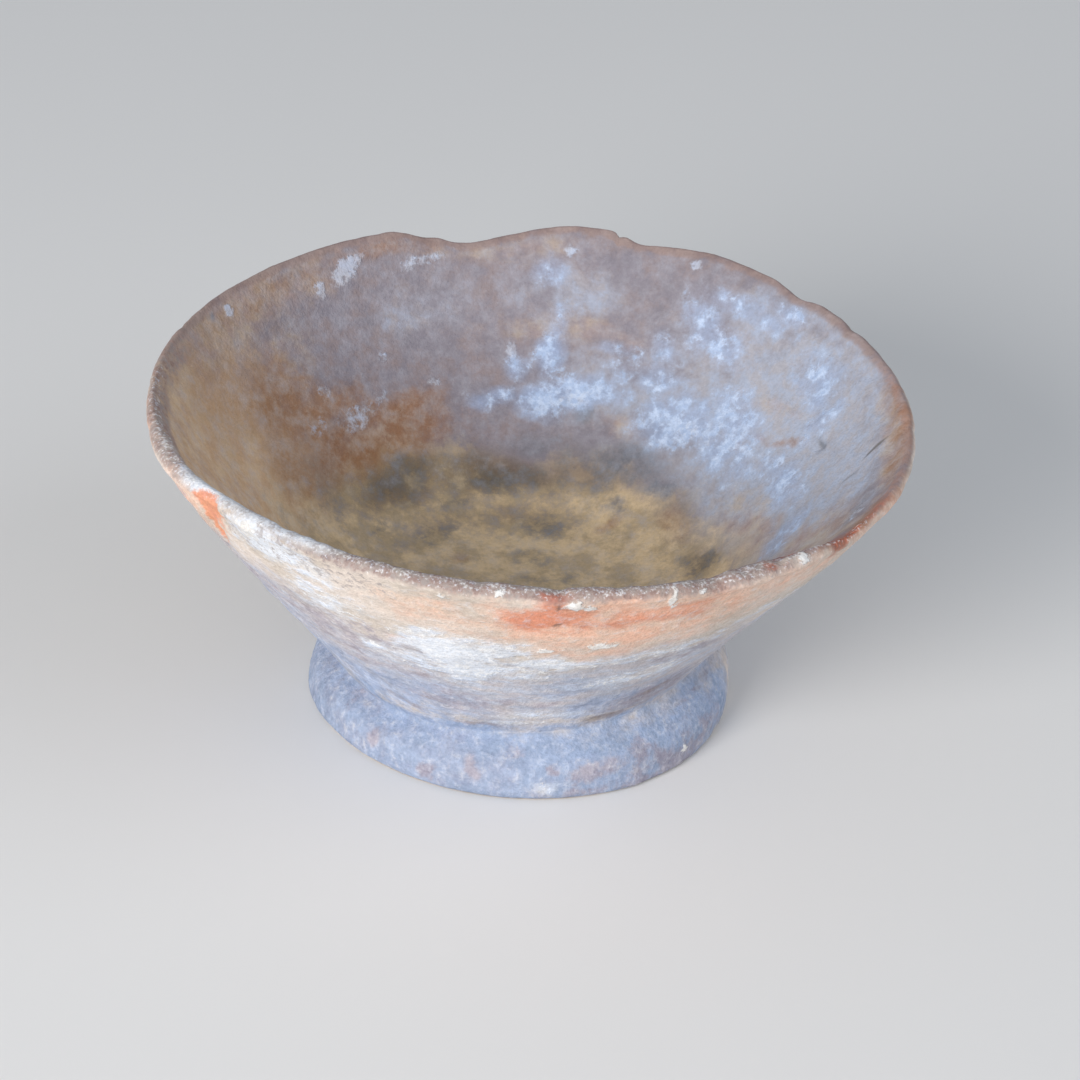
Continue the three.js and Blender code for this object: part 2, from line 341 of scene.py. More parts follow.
WHITE_OUTSIDE = [
    ("plaster fleck on the wall", -76, 63, 3.8, 1.6, 5, 1.3),
    ("plaster fleck, thin", -85.5, 61, 3.2, 0.9, 0, 1.15),
    ("plaster lump under the lip", -82.4, 84.6, 2.1, 1.7, -20, 1.25),
    ("plaster lump, right half", -80.4, 83.2, 1.7, 1.4, 0, 1.15),
    ("plaster run", -68.2, 84, 1.0, 2.8, -10, 1.3),
    ("plaster run, foot", -67.4, 80.6, 0.8, 1.2, 10, 0.95),
    ("plaster at the near lip", -93, 87, 1.4, 0.9, 0, 1.0),
    ("plaster dots", -64, 84.6, 1.2, 0.7, 0, 0.8),
    ("plaster dot, right", -46, 85, 1.8, 1.0, 0, 1.0),
    ("plaster dot, left", -101, 84, 1.6, 1.0, 0, 0.95),
    ("crust heart", -134, 84, 5, 3, 0, 0.75),
    ("fleck at the foot", -39.6, 5, 1.4, 1.2, 0, 1.2),
    ("dots at the red clay", -95, 74, 1.4, 0.8, 0, 0.7),
]
CRACK_OUTSIDE = [
    ("slit in the red clay", -84.5, 74.5, 1.6, 0.9, 0, 1.0),
    ("crack from the lip", -84.6, 84, 1.0, 3.0, 20, 0.8),
]
# The marks in the groove and the groove on the back are painted shade in the groove between wall and foot.
GROOVE_SHADE_AND_BROWN_OUTSIDE = [
    ("brown in the groove", -98, 18.6, 8, 1.2, 0, 0.95),
    ("brown in the groove, right", -62, 20, 10, 1.6, 6, 0.85),
    ("brown over the groove, right", -52, 27, 9, 1.6, 24, 0.7),
    ("brown over the groove, left", -122, 22, 6, 1.2, -20, 0.6),
    ("brown streak", -108, 27, 7, 1.2, 0, 0.5),
    ("smudge in the smear", -110, 53, 3.6, 1.6, 10, 0.7),
    ("smudge at the crust", -92, 51, 3.4, 1.2, 0, 0.55),
    ("groove on the back", 90, 15, 120, 1.6, 0, 0.7),
]

# Arcs around the dish: first azimuth, last azimuth going anticlockwise, and how soft the ends are
THIN_LIP_ARC = (-50, 196, 16)
NEAR_LIP_ARC = (-130, -50, 14)
GREY_LIP_ARC = (165, 216, 16)
FAR_LIP_ARC = (18, 172, 16)
WHITE_LIP_ARC = (-150, -118, 10)
CRUSTED_LIP_ARC = (-185, -28, 12)
ROUGH_LIP_ARC = (-185, -20, 20)
CRUST_BAND_ARC = (-142, -108, 12)
DEEP_SOIL_ARC = (108, 205, 40)

# The edge of the soil on the inside: its radius, how far it strays, how much further out it lies on
# the deep arc, and how soft it is
SOIL_EDGE_MM = 53
SOIL_STRAY_MM = 4
SOIL_DEEP_MM = 9
SOIL_SOFTNESS_MM = 16
SOIL_CLOUD = (16, 41)

# The height where the pitted band under the left lip begins, and over what height it grows
CRUST_BAND_MM = (72, 8)

# Strengths of the deposits on the lip
GREY_LIP_SHARE = 0.8
WHITE_LIP_SHARE = 0.95

# How the edge of a mark strays: cell and seeds of its two clouds, share of the mark's half size and
# the most across and up. The last value is how steeply a mark fades.
EDGE_CELL_MM = 11
EDGE_SEEDS = (11, 23)
EDGE_STRAY_SHARE = 0.5
EDGE_STRAY_ACROSS_MM = 3.0
EDGE_STRAY_UP_MM = 2.4
EDGE_STEEPNESS = 1.3

# The thrower's rings: how high they stand, their two pitches, the share of the finer ones, and how
# much calmer they are on the foot. Clouds of share, cell and seed let them wander and fade.
WHEEL_RIDGE_MM = 0.16
WHEEL_PITCH_MM = 7.5
WHEEL_FINE_PITCH_MM = 3.9
WHEEL_FINE_SHARE = 0.6
WHEEL_FOOT_CALM = 0.6
WHEEL_WANDER = [(3, 60, 51), (1, 22, 52)]
WHEEL_MEAN = 0.6
WHEEL_FADING = [(0.4, 30, 53)]

# Relief of the whole skin: the lumps' clouds, as height, cell and seed, and the grain
LUMPS = [(0.27, 34, 81), (0.18, 13, 82)]
GRAIN_MM = 0.12
GRAIN_CLOUD = (4.2, 83)

# Worn skin of the lip: depth, its clouds as share, cell and seed, and the share left off the rough arc
LIP_WEAR_MM = 0.28
LIP_WEAR_CLOUDS = [(0.6, 2.1, 61), (0.45, 3.7, 62), (0.4, 9, 64)]
LIP_CALM_SHARE = 0.12

# Nicks in the lip: the rows that they sit on, their least and largest size and bite, how far apart
# two rows are, how sharply a nick ends, and the share left where the lip is calm
NICK_COUNT = 46
NICK_SEED = 7
NICK_ROWS = [ROW_LIP_OUTER + 0.4, ROW_LIP_OUTER + 0.4, ROW_LIP_TOP, ROW_LIP_INNER - 0.2]
NICK_SIZE_MM = (0.8, 2.2)
NICK_BITE_MM = (0.2, 0.7)
NICK_ROW_MM = 1.6
NICK_STEEPNESS = 1.5
NICK_CALM_SHARE = 0.3

# Crust and plaster: how much of the salt and the smear crusts over, from which cover on and over what
# change of it they stand up, how high, and their crumbs
CRUST_MM = 0.35
CRUST_OF_SALT = 0.8
CRUST_OF_SMEAR = 0.6
CRUST_COVER = (0.35, 0.5)
CRUMB_CLOUD = (3.0, 71)
CRUMB_MEAN = 0.55
CRUMB_SWING = 0.45
PLASTER_MM = 0.2
PLASTER_CRUMBS_MM = 0.35
PLASTER_COVER = (0.4, 0.6)

# Depth of the fresh flake and of the scar, from which cover on and over what change of it
FLAKE_MM = 0.7
FLAKE_COVER = (0.45, 0.12)
SCAR_MM = 0.5
SCAR_COVER = (0.6, 0.3)

# The pit on the inside wall: azimuth, radius, size, depth and how sharply it ends
PIT_AT = 15.3
PIT_RADIUS_MM = 80
PIT_SIZE_MM = 1.3
PIT_DEPTH_MM = 1.0
PIT_STEEPNESS = 1.5

# The drying crack at the near lip, the height where it begins and over what height it deepens, and the
# hole below it
SLIT_AT = -84
SLIT_WIDTH_MM = 0.9
SLIT_DEPTH_MM = 0.4
SLIT_WANDER_MM = 1.2
SLIT_CLOUD = (5, 91)
SLIT_REACH_MM = (82.5, 2.5)
HOLE_HEIGHT_MM = 74.5
HOLE_OFFSET_MM = 0.6
HOLE_HALF_MM = (1.6, 0.8)
HOLE_DEPTH_MM = 0.9

# The lip's inner edge is worn to a slope, except at the near side: between which rows and how far
SLOPE_FIRST_ROW = 21.5
SLOPE_LAST_ROW = 25.5
SLOPE_SHARE = 0.85

# The step in the far rim, in degrees: where the solid drops from and to, where it drops here and over
# what width, and how far past the solid's drop the change ends. Then its depth, and the height on the
# wall where it begins and over what height it grows.
STEP_FROM = 78.5
STEP_TO = 75.5
STEP_AT = 77.6
STEP_WIDTH = 1.0
STEP_MARGIN = 1
STEP_DEPTH_MM = 2.2
STEP_WALL_MM = (78, 9)

# Colours of the clay and of what lies on it, as they look in daylight. Their cool blues are partly painted
# cool shade.
INSIDE_MAUVE = (0.55, 0.525, 0.56)
INSIDE_ROSE = (0.585, 0.53, 0.535)
CREAM_WARM = (0.82, 0.77, 0.72)
CREAM_PALE = (0.85, 0.80, 0.76)
LIP_GREY = (0.60, 0.555, 0.55)
LIP_ROSE = (0.63, 0.52, 0.49)
LIP_ORANGE = (0.67, 0.50, 0.42)
LIP_BROWN = (0.52, 0.44, 0.42)
TAN_DEEP = (0.83, 0.685, 0.535)
TAN_PALE = (0.87, 0.75, 0.61)
# The veil's blue is partly painted cool shade.
VEIL_BLUE_AND_COOL_SHADE = (0.675, 0.715, 0.795)
VEIL_GREY = (0.70, 0.70, 0.735)
WARM_ROSE = (0.69, 0.59, 0.55)
WARM_SAND = (0.77, 0.70, 0.62)
SOIL_PALE = (0.885, 0.78, 0.62)
SOIL_DEEP = (0.73, 0.64, 0.50)
BROWN_EARTH = (0.54, 0.455, 0.36)
BROWN_DEEP = (0.44, 0.38, 0.31)
STAIN_GREEN = (0.40, 0.38, 0.34)
STAIN_BLACK = (0.33, 0.31, 0.29)
SLATE_PALE = (0.50, 0.51, 0.55)
SLATE_DEEP = (0.40, 0.42, 0.46)
RUST_DEEP = (0.61, 0.44, 0.31)
RUST_PALE = (0.67, 0.52, 0.385)
# The salt's cool blue tint, here and in the whitest salt below, is partly painted cool shade.
SALT_BLUE_AND_COOL_SHADE = (0.62, 0.69, 0.82)
SALT_PALE_AND_COOL_SHADE = (0.69, 0.765, 0.89)
LILAC_WARM = (0.77, 0.745, 0.76)
LILAC_COOL = (0.725, 0.745, 0.80)
# The next four blues are partly salt and partly painted cool shade, for the lower outer wall and the foot.
BLUE_DEEP_SALT_AND_SHADE = (0.60, 0.645, 0.745)
BLUE_PALE_SALT_AND_SHADE = (0.69, 0.745, 0.85)
FOOT_BLUE_SALT_AND_SHADE = (0.57, 0.63, 0.735)
FOOT_PALE_SALT_AND_SHADE = (0.61, 0.68, 0.80)
MAUVE_DEEP = (0.58, 0.545, 0.59)
MAUVE_PALE = (0.67, 0.635, 0.67)
PEACH_WARM = (0.93, 0.74, 0.64)
PEACH_PALE = (0.90, 0.78, 0.70)
RED_CLAY = (0.88, 0.57, 0.45)
RED_DEEP = (0.83, 0.54, 0.44)
SCAR_RED = (0.76, 0.42, 0.31)
SCAR_BROWN = (0.58, 0.38, 0.32)
ORANGE_CLAY = (0.90, 0.60, 0.45)
SMEAR_WHITE = (0.88, 0.905, 0.945)
SMEAR_CREAM = (0.86, 0.84, 0.82)
PLASTER = (0.93, 0.925, 0.92)
# The brown of the painted shade in the groove, also used in the foot's specks.
GROOVE_BROWN = (0.60, 0.54, 0.51)
LIP_DARK = (0.42, 0.36, 0.36)
SOIL_LIGHT = (0.88, 0.79, 0.66)
BLOOM = (0.80, 0.81, 0.85)
SALT_WHITE = (0.79, 0.85, 0.95)


def linear(colour):
    """The linear light values of a colour given as it looks on a screen, by the sRGB curve."""
    return tuple(c / 12.92 if c <= 0.04045 else ((c + 0.055) / 1.055) ** 2.4 for c in colour) + (1.0,)


def smooth(share):
    """A share held between 0 and 1, with soft ends."""
    share = np.clip(share, 0, 1)
    return share * share * (3 - 2 * share)


def grown(value, start, change):
    """0 up to a start, 1 past the change that follows it, and smooth between."""
    return smooth((value - start) / change)


def turn_from(at, azimuth):
    """Degrees from one azimuth to others, the short way around."""
    return (azimuth - at + 180) % 360 - 180


def arc_share(azimuth, first, last, fade):
    """1 between two azimuths, going anticlockwise, with soft ends."""
    half = (last - first) / 2
    turn = np.abs(turn_from((first + last) / 2, azimuth))
    return smooth((half - turn) / fade + 0.5)


# Noise: the count of slopes, the factors that scatter its cells over them, how many cells it is
# shifted by, and the gain that brings it to about 1
SLOPE_COUNT = 4096
CELL_FACTORS = (73856093, 19349663, 83492791)
CELL_SHIFT = 100
CLOUD_GAIN = 1.7


def cloud(points, cell, seed):
    """Smooth noise from about -1 to 1 over an array of points, with features about one cell wide."""
    rng = np.random.RandomState(seed)
    slopes = rng.normal(size=(SLOPE_COUNT, 3))
    slopes /= np.linalg.norm(slopes, axis=1, keepdims=True)
    place = points / cell + CELL_SHIFT
    base = np.floor(place).astype(np.int64)
    part = place - base
    fade = part ** 3 * (part * (part * 6 - 15) + 10)
    total = np.zeros(len(points))
    for corner in np.ndindex(2, 2, 2):
        corner = np.array(corner)
        scattered = (base + corner) * CELL_FACTORS
        key = scattered[:, 0] ^ scattered[:, 1] ^ scattered[:, 2]
        weight = np.prod(np.where(corner, fade, 1 - fade), axis=1)
        total += weight * np.sum(slopes[key % SLOPE_COUNT] * (part - corner), axis=1)
    return total * CLOUD_GAIN


def cloud_sum(points, clouds):
    """Clouds added up, each given as its share, cell and seed."""
    return sum(share * cloud(points, cell, seed) for share, cell, seed in clouds)


def layered_cloud(points, cell, seed, layers=3):
    """Clouds of ever finer cells, each half as strong as the one before."""
    total = np.zeros(len(points))
    for layer in range(layers):
        total += cloud(points, cell / 2 ** layer, seed + layer) / 2 ** layer
    return total


def solid_rows(node):
    """The solid's section rows as an array of rows by columns by 3, and its two points on the axis."""
    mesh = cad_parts[node].data
    places = np.array([v.co for v in mesh.vertices])
    rounded = np.round(places, JOIN_DECIMALS)
    _, first, same = np.unique(rounded, axis=0, return_index=True, return_inverse=True)
    same = same.reshape(-1)
    points = places[first]
    neighbours = [set() for _ in points]
    for face in mesh.polygons:
        corners = [same[v] for v in face.vertices]
        for here, there in zip(corners, corners[1:] + corners[:1]):
            neighbours[here].add(there)
            neighbours[there].add(here)
    poles = sorted(range(len(points)), key=lambda v: -len(neighbours[v]))[:2]
    under, floor = sorted(poles, key=lambda v: points[v][2])
    axis = points[under][:2]
    rows = []
    seen = {under}
    ring = {under}
    while True:
        ring = {there for here in ring for there in neighbours[here]} - seen
        if floor in ring:
            break
        seen |= ring
        members = np.array(sorted(ring))
        turn = np.arctan2(points[members, 1] - axis[1], points[members, 0] - axis[0])
        turn = np.where(turn < -SEAM_SLACK, turn + 2 * math.pi, turn)
        rows.append(points[members[np.argsort(turn)]])
    return np.array(rows), points[under], points[floor]


def widen_columns(rows, count):
    """More columns on a smooth closed curve through the ones that are there."""
    old = rows.shape[1]
    place = np.arange(count) * old / count
    index = np.floor(place).astype(int)
    t = (place - index)[None, :, None]
    before, start, end, after = (rows[:, (index + k) % old] for k in (-1, 0, 1, 2))
    return 0.5 * (
        2 * start
        + (end - before) * t
        + (2 * before - 5 * start + 4 * end - after) * t ** 2
        + (3 * start - before - 3 * end + after) * t ** 3
    )


def row_slopes(rows):
    """Slopes along the section for each span's start and end, one-sided at the creases."""
    spans = np.diff(rows, axis=0)
    lengths = np.linalg.norm(spans, axis=2, keepdims=True)
    directions = spans / lengths
    joined = directions[:-1] * lengths[1:] + directions[1:] * lengths[:-1]
    joined = joined / (lengths[1:] + lengths[:-1])
    starts = np.concatenate([directions[:1], joined])
    ends = np.concatenate([joined, directions[-1:]])
    for crease in CREASE_ROWS:
        starts[crease] = directions[crease]
        ends[crease - 1] = directions[crease - 1]
    return starts, ends, lengths


def zone_of(row):
    """The part of the dish that the span after a row belongs to."""
    if row < ROW_REST_OUTER:
        return "under"
    if row < ROW_GROOVE:
        return "foot"
    if row < ROW_LIP_OUTER - 1:
        return "wall"
    if row < ROW_LIP_INNER + 1:
        return "lip"
    return "inside" if row < ROW_FLOOR else "floor"


def fine_grid(rows, under, floor):
    """The whole skin as fine rows by columns by 3, with each fine row's place among the solid's rows."""
    rows = widen_columns(rows, SKIN_COLUMNS)
    starts, ends, lengths = row_slopes(rows)
    grid = []
    stations = []
    for ring in range(1, POLE_RINGS):
        share = ring / POLE_RINGS
        grid.append(under + (rows[0] - under) * share)
        stations.append(share - 1)
    for row in range(len(rows) - 1):
        spacing = ROW_SPACING_MM[zone_of(row)] * MM
        steps = max(1, int(round(lengths[row].mean() / spacing)))
        for step in range(steps):
            t = step / steps
            eased = 3 * t ** 2 - 2 * t ** 3
            lead = (1 - eased) * rows[row] + eased * rows[row + 1]
            bend = (t ** 3 - 2 * t ** 2 + t) * starts[row] + (t ** 3 - t ** 2) * ends[row]
            grid.append(lead + bend * lengths[row])
            stations.append(row + t)
    last = len(rows) - 1
    for ring in range(POLE_RINGS):
        share = ring / POLE_RINGS
        grid.append(rows[last] + (floor - rows[last]) * share)
        stations.append(last + share)
    return np.array(grid), np.array(stations)


def wear_inner_edge(grid, stations):
    """Draws the lip's inner edge in towards a straight slope from the top of the lip to the wall."""
    first, last = np.searchsorted(stations, [SLOPE_FIRST_ROW, SLOPE_LAST_ROW])
    part = grid[first:last + 1]
    steps = np.linalg.norm(np.diff(part, axis=0), axis=2)
    way = np.concatenate([np.zeros((1, steps.shape[1])), np.cumsum(steps, axis=0)])
    share = (way / way[-1])[..., None]
    slope = part[0] * (1 - share) + part[-1] * share
    azimuth = np.degrees(np.arctan2(part[..., 1], part[..., 0]))
    worn = SLOPE_SHARE * arc_share(azimuth, *THIN_LIP_ARC)[..., None]
    grid[first:last + 1] = part + (slope - part) * worn
    return grid


def grid_normals(grid):
    """Outward normals of the skin's grid."""
    along = np.gradient(grid, axis=0)
    around = (np.roll(grid, -1, axis=1) - np.roll(grid, 1, axis=1)) / 2
    normals = np.cross(around, along)
    return normals / np.maximum(np.linalg.norm(normals, axis=2, keepdims=True), TINY)


def mark(marks, azimuth, level_mm, reach_mm, warp):
    """How strongly a list of marks covers each point, from 0 up. Their edges follow the warp."""
    total = np.zeros(len(azimuth))
    for _, at, level, half_width, half_height, lean, strength in marks:
        across = np.radians(turn_from(at, azimuth)) * reach_mm
        across = across + warp[0] * min(EDGE_STRAY_ACROSS_MM, half_width * EDGE_STRAY_SHARE)
        up = level_mm - level + warp[1] * min(EDGE_STRAY_UP_MM, half_height * EDGE_STRAY_SHARE)
        c, s = math.cos(math.radians(lean)), math.sin(math.radians(lean))
        u = (across * c + up * s) / half_width
        v = (up * c - across * s) / half_height
        total = np.maximum(total, strength * np.exp(-(u * u + v * v) ** EDGE_STEEPNESS))
    return total


class Skin:
    """The dish's fine points with the measures that the relief and the marks are placed by."""

    def __init__(self, grid, stations):
        self.points = grid.reshape(-1, 3) / MM
        self.normals = grid_normals(grid).reshape(-1, 3)
        self.station = np.repeat(stations, grid.shape[1])
        self.azimuth = np.degrees(np.arctan2(self.points[:, 1], self.points[:, 0]))
        self.radius = np.hypot(self.points[:, 0], self.points[:, 1])
        self.height = self.points[:, 2]
        self.inside = grown(self.station, ROW_LIP_TOP + LIP_CHANGE_FROM, LIP_CHANGE_ROWS)
        self.outside = grown(-self.station, -ROW_LIP_TOP - LIP_CHANGE_FROM, LIP_CHANGE_ROWS)
        sooner = THIN_LIP_ROWS * arc_share(self.azimuth, *THIN_LIP_ARC)
        change_from = ROW_LIP_TOP + LIP_CHANGE_FROM - sooner
        self.coloured_inside = grown(self.station, change_from, LIP_CHANGE_ROWS)
        self.lip = smooth(1 - np.abs(self.station - ROW_LIP_TOP) / LIP_REACH_ROWS)
        self.foot = smooth(ROW_GROOVE + GROOVE_CHANGE_ROWS - self.station)
        self.under = smooth((ROW_REST_OUTER + REST_CHANGE_ROWS - self.station) / REST_CHANGE_ROWS)
        self.warp = [layered_cloud(self.points, EDGE_CELL_MM, seed) for seed in EDGE_SEEDS]

    def turn_mm(self, at):
        """How far each point lies around the dish from an azimuth, in millimetres."""
        return np.radians(turn_from(at, self.azimuth)) * self.radius

    def marks_inside(self, marks):
        """Cover of marks that are placed by their radius."""
        reach = np.maximum(self.radius, SMALLEST_REACH_MM)
        return mark(marks, self.azimuth, self.radius, reach, self.warp) * self.coloured_inside

    def marks_outside(self, marks):
        """Cover of marks that are placed by their height."""
        cover = mark(marks, self.azimuth, self.height, self.radius, self.warp)
        return cover * self.outside * (1 - self.under)


def weathering(skin):
    """What covers the clay at each point: a value from 0 to about 1 for each layer."""
    soil_stray = SOIL_STRAY_MM * layered_cloud(skin.points, *SOIL_CLOUD)
    soil_line = SOIL_EDGE_MM + soil_stray + SOIL_DEEP_MM * arc_share(skin.azimuth, *DEEP_SOIL_ARC)
    soil = smooth((soil_line - skin.radius) / SOIL_SOFTNESS_MM + 0.5) * skin.inside
    near_arc = arc_share(skin.azimuth, *NEAR_LIP_ARC)
    grey_arc = GREY_LIP_SHARE * arc_share(skin.azimuth, *GREY_LIP_ARC)
    lip_start = smooth((skin.station - ROW_LIP_OUTER) / BARE_LIP_SOFTNESS + 0.5)
    near_lip = np.maximum(near_arc, grey_arc) * lip_start * smooth(ROW_LIP_INNER + 1 - skin.station)
    outer_half = smooth((ROW_LIP_TOP - skin.station) / OUTER_HALF_ROWS + 1)
    warm_lip = (1 - near_arc) * (1 - grey_arc) * skin.lip * outer_half
    far_lip = arc_share(skin.azimuth, *FAR_LIP_ARC) * skin.lip * outer_half
    white_lip = arc_share(skin.azimuth, *WHITE_LIP_ARC) * skin.lip
    crust_band = grown(skin.height, *CRUST_BAND_MM) * arc_share(skin.azimuth, *CRUST_BAND_ARC)
    return {
        "inside": skin.coloured_inside,
        "outside": 1 - skin.coloured_inside,
        "tan": skin.marks_inside(TAN_INSIDE),
        "veil_and_cool_shade": skin.marks_inside(VEIL_AND_COOL_SHADE_INSIDE),
        "warm": skin.marks_inside(WARM_INSIDE),
        "soil": np.maximum(soil, skin.marks_inside(SOIL_INSIDE)),
        "brown": skin.marks_inside(BROWN_INSIDE),
        "stain": skin.marks_inside(STAIN_INSIDE),
        "slate": skin.marks_inside(SLATE_INSIDE),
        "rust": skin.marks_inside(RUST_INSIDE),
        "salt": skin.marks_inside(SALT_INSIDE),
        "lilac": skin.marks_outside(LILAC_OUTSIDE),
        "blue": skin.marks_outside(BLUE_SALT_AND_COOL_SHADE_OUTSIDE),
        "foot": skin.marks_outside(FOOT_SALT_AND_COOL_SHADE_OUTSIDE),
        "mauve": skin.marks_outside(MAUVE_AND_PAINTED_SHADE_OUTSIDE),
        "peach": skin.marks_outside(PEACH_OUTSIDE),
        "red": skin.marks_outside(RED_OUTSIDE),
        "scar": np.maximum(skin.marks_inside(SCAR_INSIDE), skin.marks_outside(SCAR_OUTSIDE)),
        "crack": np.maximum(skin.marks_inside(CRACK_INSIDE), skin.marks_outside(CRACK_OUTSIDE)),
        "orange": skin.marks_outside(ORANGE_OUTSIDE),
        "smear": np.maximum(skin.marks_outside(CREAM_OUTSIDE), WHITE_LIP_SHARE * white_lip),
        "pitted": crust_band * (1 - skin.coloured_inside),
        "groove": skin.marks_outside(GROOVE_SHADE_AND_BROWN_OUTSIDE),
        "fleck": skin.marks_inside(FLECKS_INSIDE),
        "plaster": skin.marks_outside(WHITE_OUTSIDE),
        "lip": arc_share(skin.azimuth, *CRUSTED_LIP_ARC) * skin.lip,
        "lip_near": near_lip,
        "lip_warm": warm_lip,
        "lip_far": far_lip,
    }


def waves(place, pitch):
    """Waves from -1 to 1 along a place, one in each pitch."""
    return np.sin(place * 2 * math.pi / pitch)


def wheel_ridges(skin):
    """Faint rings that the thrower's fingers left, wandering a little around the wall."""
    wander = cloud_sum(skin.points, WHEEL_WANDER)
    rings = waves(skin.height + wander, WHEEL_PITCH_MM)
    rings = rings + WHEEL_FINE_SHARE * waves(skin.height - wander, WHEEL_FINE_PITCH_MM)
    strength = WHEEL_MEAN + cloud_sum(skin.points, WHEEL_FADING)
    return WHEEL_RIDGE_MM * rings * strength * (1 - skin.foot * WHEEL_FOOT_CALM) * (1 - skin.lip)


def lip_wear(skin):
    """Small nicks bitten from the lip's edges, and the rough skin between them."""
    rng = np.random.RandomState(NICK_SEED)
    near = LIP_CALM_SHARE + (1 - LIP_CALM_SHARE) * arc_share(skin.azimuth, *ROUGH_LIP_ARC)
    depth = LIP_WEAR_MM * cloud_sum(skin.points, LIP_WEAR_CLOUDS) * near * skin.lip
    nick_share = NICK_CALM_SHARE + (1 - NICK_CALM_SHARE) * near
    for _ in range(NICK_COUNT):
        at = rng.uniform(-180, 180)
        station = rng.choice(NICK_ROWS)
        size = rng.uniform(*NICK_SIZE_MM)
        bite = rng.uniform(*NICK_BITE_MM)
        across = skin.turn_mm(at) / size
        along = (skin.station - station) * NICK_ROW_MM / size
        depth = depth - bite * np.exp(-(across ** 2 + along ** 2) ** NICK_STEEPNESS) * nick_share
    return depth


def crust_relief(skin, layers):
    """Salt, plaster and cream crust stand a little proud and crumbly."""
    crumbs = CRUMB_MEAN + CRUMB_SWING * layered_cloud(skin.points, *CRUMB_CLOUD)
    crust = np.maximum(layers["salt"] * CRUST_OF_SALT, layers["smear"] * CRUST_OF_SMEAR)
    lumps = CRUST_MM * grown(crust, *CRUST_COVER) * crumbs
    plaster = grown(layers["plaster"], *PLASTER_COVER) * (PLASTER_MM + PLASTER_CRUMBS_MM * crumbs)
    return lumps + plaster


def skin_relief(skin, layers):
    """How far each point of the skin stands off the solid's form, in millimetres along its normal."""
    lumps = cloud_sum(skin.points, LUMPS)
    grain = GRAIN_MM * layered_cloud(skin.points, *GRAIN_CLOUD)
    relief = lumps + grain + wheel_ridges(skin) + lip_wear(skin) + crust_relief(skin, layers)
    flake = FLAKE_MM * grown(layers["orange"], *FLAKE_COVER)
    scar = SCAR_MM * grown(layers["scar"], *SCAR_COVER)
    return (relief - flake - scar - pit(skin) - slit(skin)) * (1 - skin.under)


def far_step(skin):
    """Lifts and lowers the lip so that the step in the far rim drops at once."""
    solid_drop = smooth((STEP_FROM - skin.azimuth) / (STEP_FROM - STEP_TO))
    sharp_drop = smooth((STEP_AT - skin.azimuth) / STEP_WIDTH + 0.5)
    near_step = arc_share(skin.azimuth, STEP_TO - STEP_MARGIN, STEP_FROM + STEP_MARGIN, STEP_MARGIN)
    up_the_wall = grown(skin.height, *STEP_WALL_MM)
    return STEP_DEPTH_MM * (solid_drop - sharp_drop) * near_step * up_the_wall


def pit(skin):
    """A round pit on the inside wall."""
    away = (skin.turn_mm(PIT_AT) ** 2 + (skin.radius - PIT_RADIUS_MM) ** 2) / PIT_SIZE_MM ** 2
    return PIT_DEPTH_MM * np.exp(-away ** PIT_STEEPNESS) * skin.inside


def slit(skin):
    """A dark drying crack at the near lip, and a small hole below it in the red clay."""
    turn = skin.turn_mm(SLIT_AT)
    wander = cloud(skin.points, *SLIT_CLOUD) * SLIT_WANDER_MM
    line = np.exp(-((turn - wander) / SLIT_WIDTH_MM) ** 2)
    reach = grown(skin.height, *SLIT_REACH_MM) * (skin.lip + skin.outside)
    across = (turn - HOLE_OFFSET_MM) / HOLE_HALF_MM[0]
    up = (skin.height - HOLE_HEIGHT_MM) / HOLE_HALF_MM[1]
    hole = np.exp(-across ** 2 - up ** 2) * skin.outside
    return SLIT_DEPTH_MM * line * reach + HOLE_DEPTH_MM * hole


def skin_mesh(points, rows, columns, under, floor):
    """One closed mesh from the grid of points, with a point on the axis at each end."""
    places = np.concatenate([points, [under, floor]])
    around = np.arange(columns)
    beside = (around + 1) % columns
    quads = []
    for row in range(rows - 1):
        low, high = row * columns, (row + 1) * columns
        quads.append(np.stack([low + around, low + beside, high + beside, high + around], axis=1))
    quads = np.concatenate(quads)
    under_pole, floor_pole = rows * columns, rows * columns + 1
    last = (rows - 1) * columns
    faces = quads.tolist()
    faces += [[under_pole, int(b), int(a)] for a, b in zip(around, beside)]
    faces += [[floor_pole, int(last + a), int(last + b)] for a, b in zip(around, beside)]
    mesh = bpy.data.meshes.new("dish_skin")
    mesh.from_pydata(places.tolist(), [], faces)
    mesh.update()
    for polygon in mesh.polygons:
        polygon.use_smooth = True
    return mesh


def keep_layers(mesh, layers):
    """Each layer becomes a value on the mesh's points for the material to read."""
    for name, values in layers.items():
        attribute = mesh.attributes.new(name, "FLOAT", "POINT")
        padded = np.concatenate([values, np.zeros(2)]).astype(np.float32)
        attribute.data.foreach_set("value", padded)


def make_dish():
    """The dish's skin as one object, at rest on the floor."""
    rows, under, floor = solid_rows("dish")
    grid, stations = fine_grid(rows, under, floor)
    grid = wear_inner_edge(grid, stations)
    skin = Skin(grid, stations)
    layers = weathering(skin)
    relief = skin_relief(skin, layers)
    points = (skin.points + skin.normals * relief[:, None]) * MM
    points[:, 2] += far_step(skin) * MM
    points[:, 2] = np.maximum(points[:, 2], 0)
    mesh = skin_mesh(points, grid.shape[0], grid.shape[1], under, floor)
    keep_layers(mesh, layers)
    dish = bpy.data.objects.new("dish_clay", mesh)
    bpy.context.scene.collection.objects.link(dish)
    return dish


